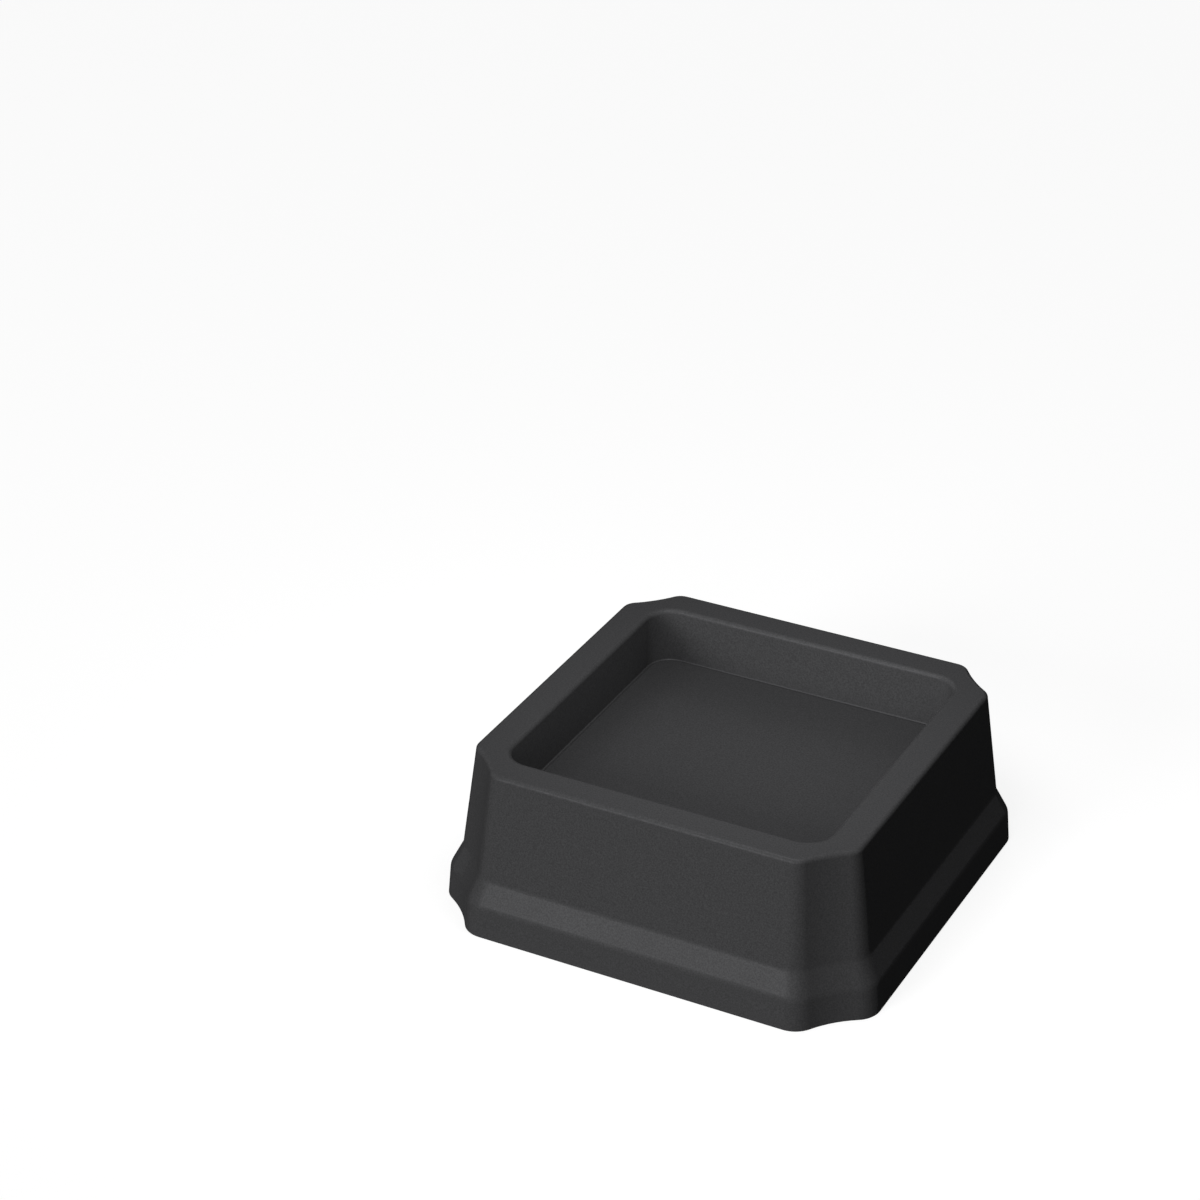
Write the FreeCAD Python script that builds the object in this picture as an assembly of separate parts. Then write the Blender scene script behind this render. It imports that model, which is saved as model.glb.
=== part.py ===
import FreeCAD, Part
import math
import os

# A square bed riser, moulded in one piece: a stepped foot, drafted walls,
# hollowed corners, a shallow pocket for the bed's leg with a fine groove round
# its floor, and an open underside that a grid of ribs divides into cells.
# Lengths are in millimetres, angles in degrees.
# Z is up, and the origin is the middle of the base.

# Pocket for the leg
pocket_width = 101.4
pocket_depth = 17.4
pocket_draft = 0.5
pocket_corner_radius = 8.0
pocket_mouth_round = 1.3
floor_groove_width = 1.1
floor_groove_depth = 0.3

# Outside
riser_height = 50.8
rim_band = 10.2
rim_edge_round = 1.3
wall_draft = 7.3
step_height = 7.3
step_out = 3.5
step_top_round = 3.2
step_low_round = 4.2
foot_height = 9.8
foot_draft = 4.6

# Hollowed corners
corner_cut = 12.5
corner_scoop_radius = 42.0
corner_round_rim = 4.8
corner_round_foot = 8.0

# Moulded walls and ribs
skirt_wall = 3.0
rim_thickness = 3.0
pocket_wall = 2.8
floor_thickness = 3.0
rib_thickness = 2.0
rib_draft = 0.5
ribs_each_way = 3

# Heights and half widths that follow from the sizes above
step_top = foot_height + step_height
floor_level = riser_height - pocket_depth
half_rim = pocket_width / 2 + rim_band
half_step_top = half_rim + (riser_height - step_top) * math.tan(math.radians(wall_draft))
half_step_low = half_step_top + step_out
half_foot = half_step_low + foot_height * math.tan(math.radians(foot_draft))
base_width = 2 * half_foot


def scoop_centre():
    """Distance along x, and along y, from the middle to a corner scoop's centre."""
    chord = corner_cut * math.sqrt(2)
    to_chord = half_rim * math.sqrt(2) - chord / 2
    return (to_chord + math.sqrt(corner_scoop_radius**2 - chord**2 / 4)) / math.sqrt(2)


def turned(point, quarter):
    """A point turned by quarter turns about the z axis."""
    x, y, z = point
    for _ in range(quarter):
        x, y = -y, x
    return FreeCAD.Vector(x, y, z)


def corner_points(half, height, inset):
    """Ends and middles of one corner's three arcs: a round, the scoop, a round.

    The scoop keeps its centre at every height, so its face leans out with the walls.
    """
    centre = scoop_centre()
    scoop = corner_scoop_radius - (half - half_rim) + inset
    rise = height / riser_height
    radius = corner_round_foot + (corner_round_rim - corner_round_foot) * rise
    radius = max(radius - inset, 0.2 * radius)
    side = half - inset
    # The round touches the flat side and the scoop's circle
    round_x = side - radius
    round_y = centre - math.sqrt((scoop + radius)**2 - (centre - round_x)**2)
    angle = math.atan2(centre - round_y, centre - round_x)
    points = [
        (side, round_y),
        (round_x + radius * math.cos(angle / 2), round_y + radius * math.sin(angle / 2)),
        (centre - scoop * math.cos(angle), centre - scoop * math.sin(angle)),
        (centre - scoop / math.sqrt(2), centre - scoop / math.sqrt(2)),
    ]
    mirrored = [(y, x) for x, y in reversed(points[:3])]
    return [(x, y, height) for x, y in points + mirrored]


def section(half, height, inset=0.0):
    """Closed outline of the riser at one height: four flats and four hollowed corners."""
    edges = []
    for quarter in range(4):
        points = [turned(p, quarter) for p in corner_points(half, height, inset)]
        for first in (0, 2, 4):
            edges.append(Part.Arc(*points[first:first + 3]).toShape())
        next_start = turned(corner_points(half, height, inset)[0], quarter + 1)
        edges.append(Part.makeLine(points[6], next_start))
    return Part.Wire(edges)


def rounded_square(half, radius, height):
    """Closed outline of a square with round corners."""
    middle = (half - radius) + radius / math.sqrt(2)
    edges = []
    for quarter in range(4):
        start = turned((half, half - radius, height), quarter)
        through = turned((middle, middle, height), quarter)
        end = turned((half - radius, half, height), quarter)
        edges.append(Part.Arc(start, through, end).toShape())
        edges.append(Part.makeLine(end, turned((half, half - radius, height), quarter + 1)))
    return Part.Wire(edges)


def edges_at(shape, height, reach):
    """Edges that lie flat at one height, no further out than reach along x and y."""
    found = []
    for edge in shape.Edges:
        box = edge.BoundBox
        level = abs(box.ZMin - height) < 0.01 and abs(box.ZMax - height) < 0.01
        if level and max(box.XMax, box.YMax, -box.XMin, -box.YMin) < reach:
            found.append(edge)
    return found


def outer_form():
    """The riser as a full block: foot, sloping step and wall, with its edges rounded."""
    levels = [
        (half_foot, 0.0),
        (half_step_low, foot_height),
        (half_step_top, step_top),
        (half_rim, riser_height),
    ]
    block = Part.makeLoft([section(half, height) for half, height in levels], True, True)
    block = block.makeFillet(step_low_round, edges_at(block, foot_height, base_width))
    block = block.makeFillet(step_top_round, edges_at(block, step_top, base_width))
    return block.makeFillet(rim_edge_round, edges_at(block, riser_height, base_width))


def wall_half(height):
    """Half width of the outside at a height on the wall."""
    share = (riser_height - height) / (riser_height - step_top)
    return half_rim + (half_step_top - half_rim) * share


def skirt_hollow():
    """The space inside the skirt, under the rim."""
    roof = riser_height - rim_thickness
    levels = [
        (half_foot, 0.0),
        (half_step_low, foot_height),
        (half_step_top, step_top),
        (wall_half(roof), roof),
    ]
    outlines = [section(half, height, skirt_wall) for half, height in levels]
    return Part.makeLoft(outlines, True, True)


def pocket_outline(outset, height, level):
    """Outline of the pocket's tapered wall at a height, made wider by outset and laid at a level."""
    half = pocket_width / 2 - (riser_height - height) * math.tan(math.radians(pocket_draft))
    return rounded_square(half + outset, pocket_corner_radius + outset, level)


def cup():
    """The block that the pocket is sunk into: its walls and its floor."""
    bottom = floor_level - floor_thickness
    outlines = [pocket_outline(pocket_wall, height, height) for height in (bottom, riser_height)]
    return Part.makeLoft(outlines, True, True)


def pocket():
    """The pocket's hollow, with a shallow groove round its floor.

    The wall's foot slopes into the groove at 45 degrees, and the floor's edge slopes
    down to it more gently. Both slopes cross at the groove's bottom.
    """
    below = floor_level - 2 * floor_groove_depth
    wall_run = 2 * floor_groove_depth
    floor_run = 2 * (floor_groove_width - floor_groove_depth)
    hollow = Part.makeLoft([
        pocket_outline(-wall_run, floor_level, below),
        pocket_outline(0.0, floor_level, floor_level),
        pocket_outline(0.0, riser_height, riser_height),
    ], True, True)
    table = Part.makeLoft([
        pocket_outline(floor_run - floor_groove_width, floor_level, below),
        pocket_outline(-floor_groove_width, floor_level, floor_level),
    ], True, True)
    return hollow.cut(table)


def rib(offset):
    """One rib along y at a distance from the middle, thicker towards its root."""
    grow = riser_height * math.tan(math.radians(rib_draft))
    thin = rib_thickness / 2
    thick = thin + grow
    profile = Part.makePolygon([
        FreeCAD.Vector(offset - thin, -half_foot, 0),
        FreeCAD.Vector(offset + thin, -half_foot, 0),
        FreeCAD.Vector(offset + thick, -half_foot, riser_height),
        FreeCAD.Vector(offset - thick, -half_foot, riser_height),
        FreeCAD.Vector(offset - thin, -half_foot, 0),
    ])
    return Part.Face(profile).extrude(FreeCAD.Vector(0, base_width, 0))


def rib_grid():
    """Ribs both ways, evenly spaced across the inside of the skirt."""
    pitch = (base_width - 2 * skirt_wall) / (ribs_each_way + 1)
    ribs = []
    for number in range(ribs_each_way):
        along_y = rib((number - (ribs_each_way - 1) / 2) * pitch)
        along_x = along_y.copy()
        along_x.rotate(FreeCAD.Vector(0, 0, 0), FreeCAD.Vector(0, 0, 1), 90)
        ribs.extend([along_y, along_x])
    return ribs


def riser():
    """The whole riser: the block less its underside cells and its pocket."""
    cells = skirt_hollow().cut([cup()] + rib_grid())
    body = outer_form().cut([cells, pocket()])
    mouth = edges_at(body, riser_height, pocket_width / 2 + 0.1)
    return body.makeFillet(pocket_mouth_round, mouth).removeSplitter()


os.makedirs("parts", exist_ok=True)
riser_body = riser().Solids[0]
riser_body.exportStep("parts/riser_body.step")
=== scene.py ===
"""Finish and studio for a square bed riser, moulded in one piece of black polypropylene."""

import math

import bpy
from mathutils import Matrix, Vector

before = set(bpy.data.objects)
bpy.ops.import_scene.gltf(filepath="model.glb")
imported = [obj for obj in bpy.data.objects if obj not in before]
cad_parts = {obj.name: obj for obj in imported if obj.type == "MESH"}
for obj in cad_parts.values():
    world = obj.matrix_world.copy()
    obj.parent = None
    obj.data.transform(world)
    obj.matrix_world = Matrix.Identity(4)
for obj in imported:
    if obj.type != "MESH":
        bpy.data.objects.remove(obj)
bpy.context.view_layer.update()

bl_info = {
    "name": "Bed riser finish",
    "version": (1, 0, 0),
    "blender": (4, 5, 0),
    "location": "3D View > Sidebar > Bed riser",
    "description": "Gives the moulded bed riser its plastic finish and sets up its studio",
    "category": "Object",
}

MM = 0.001
WHITE = (1.0, 1.0, 1.0, 1.0)

# Polypropylene bends light by this much.
PLASTIC_IOR = 1.49

# The greater part of each noise pattern lies between these values, and is spread over its whole effect.
GRAIN_VALUES = (0.3, 0.7)
FLOW_VALUES = (0.35, 0.65)

# A Mix node repeats its socket names for each kind of data, so its colour sockets are taken by number.
MIX_FACTOR = 0
MIX_FIRST = 6
MIX_SECOND = 7
MIX_RESULT = 2

# The near and far ends of what the camera shows, in metres, and the width of its film, in millimetres.
CLIP_NEAR = 0.01
CLIP_FAR = 20.0
FILM_WIDTH = 36.0


def linear(hex_colour):
    """A six digit sRGB hex colour as linear red, green and blue."""
    values = [int(hex_colour[i:i + 2], 16) / 255 for i in (1, 3, 5)]
    return tuple(v / 12.92 if v <= 0.04045 else ((v + 0.055) / 1.055) ** 2.4 for v in values)


class RiserFinish(bpy.types.PropertyGroup):
    """Sizes and colours of the riser's surface."""

    body_colour: bpy.props.FloatVectorProperty(
        name="Body colour", description="Colour of the moulded plastic",
        default=linear("#3F3F40"), subtype="COLOR", size=3, min=0.0, max=1.0)
    sheen: bpy.props.FloatProperty(
        name="Sheen", description="Share of the surface that glints instead of scattering the light",
        default=0.1, min=0.0, max=1.0, subtype="FACTOR")
    sheen_edge: bpy.props.FloatProperty(
        name="Sheen at the edge", description="Strength of the glints where the surface is seen edge on",
        default=0.0, min=0.0, max=1.0, subtype="FACTOR")
    sheen_roughness: bpy.props.FloatProperty(
        name="Sheen roughness", description="How far the sheen spreads round a lamp's mirror image",
        default=0.4, min=0.0, max=1.0, subtype="FACTOR")
    sheen_change: bpy.props.FloatProperty(
        name="Sheen change", description="How much the cloudy patches change the sheen's roughness each way",
        default=0.02, min=0.0, max=0.2, subtype="FACTOR")
    grain_spacing: bpy.props.FloatProperty(
        name="Grain spacing", description="Distance between the grains of the mould's texture",
        default=0.45 * MM, min=0.0, unit="LENGTH", precision=5)
    grain_height: bpy.props.FloatProperty(
        name="Grain height", description="Height of the grains of the mould's texture",
        default=0.02 * MM, min=0.0, unit="LENGTH", precision=6)
    grain_strength: bpy.props.FloatProperty(
        name="Grain strength", description="How far the grains turn the light on the surface",
        default=0.3, min=0.0, max=1.0, subtype="FACTOR")
    grain_contrast: bpy.props.FloatProperty(
        name="Grain contrast", description="How much lighter and darker than the body colour the grains are",
        default=0.18, min=0.0, max=1.0, subtype="FACTOR")
    flow_spacing: bpy.props.FloatProperty(
        name="Flow spacing", description="Distance between the faint cloudy patches that the melt leaves",
        default=30 * MM, min=0.0, unit="LENGTH", precision=4)


class StudioSettings(bpy.types.PropertyGroup):
    """Camera, floor and lamps."""

    camera_place: bpy.props.FloatVectorProperty(
        name="Camera place", description="Where the camera stands, from the middle of the riser's base",
        default=(0.3420, -0.7359, 0.5383), subtype="TRANSLATION", size=3, unit="LENGTH", precision=4)
    camera_turn: bpy.props.FloatProperty(
        name="Camera turn", description="How far the camera looks round from straight ahead",
        default=math.radians(27.74), subtype="ANGLE")
    camera_dip: bpy.props.FloatProperty(
        name="Camera dip", description="How far the camera looks down",
        default=math.radians(28.905), subtype="ANGLE")
    camera_roll: bpy.props.FloatProperty(
        name="Camera roll", description="How far the camera leans sideways",
        default=math.radians(-0.131), subtype="ANGLE")
    lens: bpy.props.FloatProperty(
        name="Lens", description="Focal length, in millimetres on a 36 mm wide sensor",
        default=96.24, min=1.0, unit="CAMERA")
    floor_width: bpy.props.FloatProperty(
        name="Floor width", description="Width of the floor",
        default=6.0, min=0.5, unit="LENGTH")
    floor_colour: bpy.props.FloatVectorProperty(
        name="Floor colour", description="Colour of the floor under the lamps' light",
        default=linear("#898989"), subtype="COLOR", size=3, min=0.0, max=1.0)
    floor_bounce: bpy.props.FloatProperty(
        name="Floor bounce", description="Share of the lamps' light that the floor sends back to the riser",
        default=0.02, min=0.0, max=1.0, subtype="FACTOR")
    floor_glow: bpy.props.FloatProperty(
        name="Floor glow", description="White that the floor shows besides the light that falls on it",
        default=0.87, min=0.0, max=1.0, subtype="FACTOR")
    world_level: bpy.props.FloatProperty(
        name="World level", description="Brightness of the light from all round",
        default=0.01, min=0.0)


def add_node(tree, kind, settings=None, **links):
    """Adds a node, sets its properties and inputs, and links sockets to its inputs."""
    node = tree.nodes.new(kind)
    for name, value in (settings or {}).items():
        if name in node.inputs.keys():
            node.inputs[name].default_value = value
        else:
            setattr(node, name, value)
    for name, socket in links.items():
        tree.links.new(socket, node.inputs[name.replace("_", " ")])
    return node


def new_material(name):
    """An empty node material and its tree."""
    material = bpy.data.materials.new(name)
    material.use_nodes = True
    material.node_tree.nodes.clear()
    return material, material.node_tree


def textured_polypropylene(finish):
    """Black polypropylene moulded against finely etched steel: matte, with an even grain and a soft sheen.

    The grains catch the light one by one, so a lit face looks faintly speckled. The sheen is weak and
    spreads wide: it brightens the rounded edges and the sloping step, and shows no clear mirror image.
    It is drawn as a small share of dark metal, which mirrors less of the white floor at a low angle than
    a clear gloss would.
    """
    material, tree = new_material("Moulded polypropylene")
    place = add_node(tree, "ShaderNodeTexCoord").outputs["Object"]
    # The real grain is about 0.15 mm, too fine for the picture, so it is drawn three times as coarse.
    grain = add_node(tree, "ShaderNodeTexNoise",
                     {"Scale": 1 / finish.grain_spacing, "Detail": 2.0, "Roughness": 0.6}, Vector=place)
    flow = add_node(tree, "ShaderNodeTexNoise",
                    {"Scale": 1 / finish.flow_spacing, "Detail": 3.0, "Roughness": 0.5}, Vector=place)
    dark = [(1 - finish.grain_contrast) * value for value in finish.body_colour]
    light = [(1 + finish.grain_contrast) * value for value in finish.body_colour]
    tone = add_node(tree, "ShaderNodeMapRange",
                    {"From Min": GRAIN_VALUES[0], "From Max": GRAIN_VALUES[1], "To Min": 0.0, "To Max": 1.0},
                    Value=grain.outputs["Fac"])
    colour = add_node(tree, "ShaderNodeMix", {"data_type": "RGBA"})
    colour.inputs[MIX_FIRST].default_value = dark + [1.0]
    colour.inputs[MIX_SECOND].default_value = light + [1.0]
    tree.links.new(tone.outputs["Result"], colour.inputs[MIX_FACTOR])
    spread = add_node(tree, "ShaderNodeMapRange",
                      {"From Min": FLOW_VALUES[0], "From Max": FLOW_VALUES[1],
                       "To Min": finish.sheen_roughness - finish.sheen_change,
                       "To Max": finish.sheen_roughness + finish.sheen_change},
                      Value=flow.outputs["Fac"])
    bump = add_node(tree, "ShaderNodeBump",
                    {"Strength": finish.grain_strength, "Distance": finish.grain_height},
                    Height=grain.outputs["Fac"])
    edge = (finish.sheen_edge, finish.sheen_edge, finish.sheen_edge, 1.0)
    shader = add_node(tree, "ShaderNodeBsdfPrincipled",
                      {"IOR": PLASTIC_IOR, "Specular IOR Level": 0.0, "Metallic": finish.sheen,
                       "Specular Tint": edge},
                      Base_Color=colour.outputs[MIX_RESULT], Roughness=spread.outputs["Result"],
                      Normal=bump.outputs["Normal"])
    add_node(tree, "ShaderNodeOutputMaterial", Surface=shader.outputs["BSDF"])
    return material


def eye_factor(tree):
    """A factor that is 1 where the camera looks, straight on, in a reflection or through something clear."""
    rays = add_node(tree, "ShaderNodeLightPath").outputs
    mirrored = add_node(tree, "ShaderNodeMath", {"operation": "MAXIMUM"})
    tree.links.new(rays["Is Camera Ray"], mirrored.inputs[0])
    tree.links.new(rays["Is Glossy Ray"], mirrored.inputs[1])
    seen = add_node(tree, "ShaderNodeMath", {"operation": "MAXIMUM"})
    tree.links.new(mirrored.outputs["Value"], seen.inputs[0])
    tree.links.new(rays["Is Transmission Ray"], seen.inputs[1])
    return seen.outputs["Value"]


def seen_and_lighting(tree, seen, lighting):
    """Mixes a shader that the camera sees, straight or mirrored, with one that lights the riser."""
    mixed = add_node(tree, "ShaderNodeMixShader", Fac=eye_factor(tree))
    tree.links.new(lighting, mixed.inputs[1])
    tree.links.new(seen, mixed.inputs[2])
    return mixed.outputs["Shader"]


def paper_floor(studio):
    """White paper that keeps the riser's shadow, and lights the riser no more than dark paper would."""
    material, tree = new_material("White background paper")
    paper = add_node(tree, "ShaderNodeBsdfDiffuse", {"Color": (*studio.floor_colour, 1.0)})
    bounce = (studio.floor_bounce, studio.floor_bounce, studio.floor_bounce, 1.0)
    dim = add_node(tree, "ShaderNodeBsdfDiffuse", {"Color": bounce})
    glow = add_node(tree, "ShaderNodeEmission", {"Color": WHITE, "Strength": studio.floor_glow})
    white = add_node(tree, "ShaderNodeAddShader")
    tree.links.new(paper.outputs["BSDF"], white.inputs[0])
    tree.links.new(glow.outputs["Emission"], white.inputs[1])
    surface = seen_and_lighting(tree, white.outputs["Shader"], dim.outputs["BSDF"])
    add_node(tree, "ShaderNodeOutputMaterial", Surface=surface)
    return material


# Softboxes: how far each stands round to the right of the riser's front, its height angle over the floor,
# both in degrees, and its watts. The key light stands low in front on the left, where the step mirrors it
# to the camera, and leaves the right side dark. The rear one is for views from behind.
SOFTBOXES = {
    "key_softbox": (-19, 18, 69.0),
    "front_softbox": (18, 20, 16.0),
    "top_softbox": (15, 70, 3.0),
    "back_right_softbox": (120, 25, 6.0),
    "rear_softbox": (200, 30, 9.0),
}
SOFTBOX_DISTANCE = 3.0
SOFTBOX_WIDTH = 1.1
RISER_MIDDLE = (0.0, 0.0, 0.03)

# A small lamp close over the pocket, turned to its back wall, lights the walls inside it.
POCKET_LAMP_PLACE = (0.015, -0.035, 0.2)
POCKET_LAMP_AIM = (-0.01, 0.05, 0.045)
POCKET_LAMP_WIDTH = 0.08
POCKET_LAMP_WATTS = 0.225


def softbox_place(turn, height):
    """The point at the softboxes' distance from the riser, at a turn and a height angle in degrees."""
    turn = math.radians(turn)
    height = math.radians(height)
    ahead = Vector((math.sin(turn), -math.cos(turn), 0.0))
    return SOFTBOX_DISTANCE * (ahead * math.cos(height) + Vector((0.0, 0.0, math.sin(height))))


def add_softbox(name, place, aim, width, watts):
    """A square lamp that points from its place towards its aim."""
    lamp = bpy.data.lights.new(name, "AREA")
    lamp.shape = "SQUARE"
    lamp.size = width
    lamp.energy = watts
    holder = bpy.data.objects.new(name, lamp)
    holder.location = place
    holder.rotation_euler = (Vector(aim) - Vector(place)).to_track_quat("-Z", "Y").to_euler()
    holder.visible_camera = False
    bpy.context.collection.objects.link(holder)


class RISER_OT_finish_body(bpy.types.Operator):
    """Give the riser's moulding its textured black plastic"""

    bl_idname = "riser.finish_body"
    bl_label = "Finish the riser"

    def execute(self, context):
        material = textured_polypropylene(context.scene.riser_finish)
        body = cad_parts["riser_body"]
        for slot in body.material_slots:
            slot.material = material
        return {"FINISHED"}


class RISER_OT_set_stage(bpy.types.Operator):
    """Lay the white floor and set up the softboxes and the camera"""

    bl_idname = "riser.set_stage"
    bl_label = "Set up the studio"

    def execute(self, context):
        studio = context.scene.riser_studio
        self.lay_floor(studio)
        for name, (turn, height, watts) in SOFTBOXES.items():
            add_softbox(name, softbox_place(turn, height), RISER_MIDDLE, SOFTBOX_WIDTH, watts)
        add_softbox("pocket_lamp", POCKET_LAMP_PLACE, POCKET_LAMP_AIM, POCKET_LAMP_WIDTH, POCKET_LAMP_WATTS)
        self.light_world(context.scene, studio)
        self.place_camera(context.scene, studio)
        context.scene.view_settings.view_transform = "Standard"
        return {"FINISHED"}

    def lay_floor(self, studio):
        """A flat square of white paper under the riser."""
        bpy.ops.object.select_all(action="DESELECT")
        bpy.ops.mesh.primitive_plane_add(size=studio.floor_width, location=(0, 0, 0))
        floor = bpy.context.object
        floor.name = "floor"
        floor.data.materials.append(paper_floor(studio))

    def light_world(self, scene, studio):
        """A white surrounding that gives the riser hardly any light."""
        world = bpy.data.worlds.new("Studio")
        world.use_nodes = True
        tree = world.node_tree
        tree.nodes.clear()
        level = add_node(tree, "ShaderNodeBackground", {"Color": WHITE, "Strength": studio.world_level})
        white = add_node(tree, "ShaderNodeBackground", {"Color": WHITE, "Strength": 1.0})
        surface = seen_and_lighting(tree, white.outputs["Background"], level.outputs["Background"])
        add_node(tree, "ShaderNodeOutputWorld", Surface=surface)
        scene.world = world

    def place_camera(self, scene, studio):
        """The camera, looking down on the riser from its front right."""
        lens = bpy.data.cameras.new("camera")
        lens.sensor_fit = "HORIZONTAL"
        lens.sensor_width = FILM_WIDTH
        lens.lens = studio.lens
        lens.clip_start = CLIP_NEAR
        lens.clip_end = CLIP_FAR
        camera = bpy.data.objects.new("camera", lens)
        scene.collection.objects.link(camera)
        turn = Matrix.Rotation(studio.camera_turn, 4, "Z")
        dip = Matrix.Rotation(math.pi / 2 - studio.camera_dip, 4, "X")
        roll = Matrix.Rotation(studio.camera_roll, 4, "Z")
        camera.matrix_world = Matrix.Translation(studio.camera_place) @ turn @ dip @ roll
        scene.camera = camera


class RISER_PT_panel(bpy.types.Panel):
    """Panel that lists the riser's steps"""

    bl_idname = "RISER_PT_panel"
    bl_label = "Bed riser"
    bl_space_type = "VIEW_3D"
    bl_region_type = "UI"
    bl_category = "Bed riser"

    def draw(self, context):
        for name in RiserFinish.__annotations__:
            self.layout.prop(context.scene.riser_finish, name)
        for name in StudioSettings.__annotations__:
            self.layout.prop(context.scene.riser_studio, name)
        self.layout.operator(RISER_OT_finish_body.bl_idname)
        self.layout.operator(RISER_OT_set_stage.bl_idname)


CLASSES = (RiserFinish, StudioSettings, RISER_OT_finish_body, RISER_OT_set_stage, RISER_PT_panel)


def register():
    """Adds the classes and the scene's settings to Blender."""
    for each in CLASSES:
        bpy.utils.register_class(each)
    bpy.types.Scene.riser_finish = bpy.props.PointerProperty(type=RiserFinish)
    bpy.types.Scene.riser_studio = bpy.props.PointerProperty(type=StudioSettings)


def unregister():
    """Takes them out again."""
    del bpy.types.Scene.riser_studio
    del bpy.types.Scene.riser_finish
    for each in reversed(CLASSES):
        bpy.utils.unregister_class(each)


def main():
    """Finishes the riser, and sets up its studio."""
    register()
    bpy.ops.riser.finish_body()
    bpy.ops.riser.set_stage()


if __name__ == "__main__":
    main()
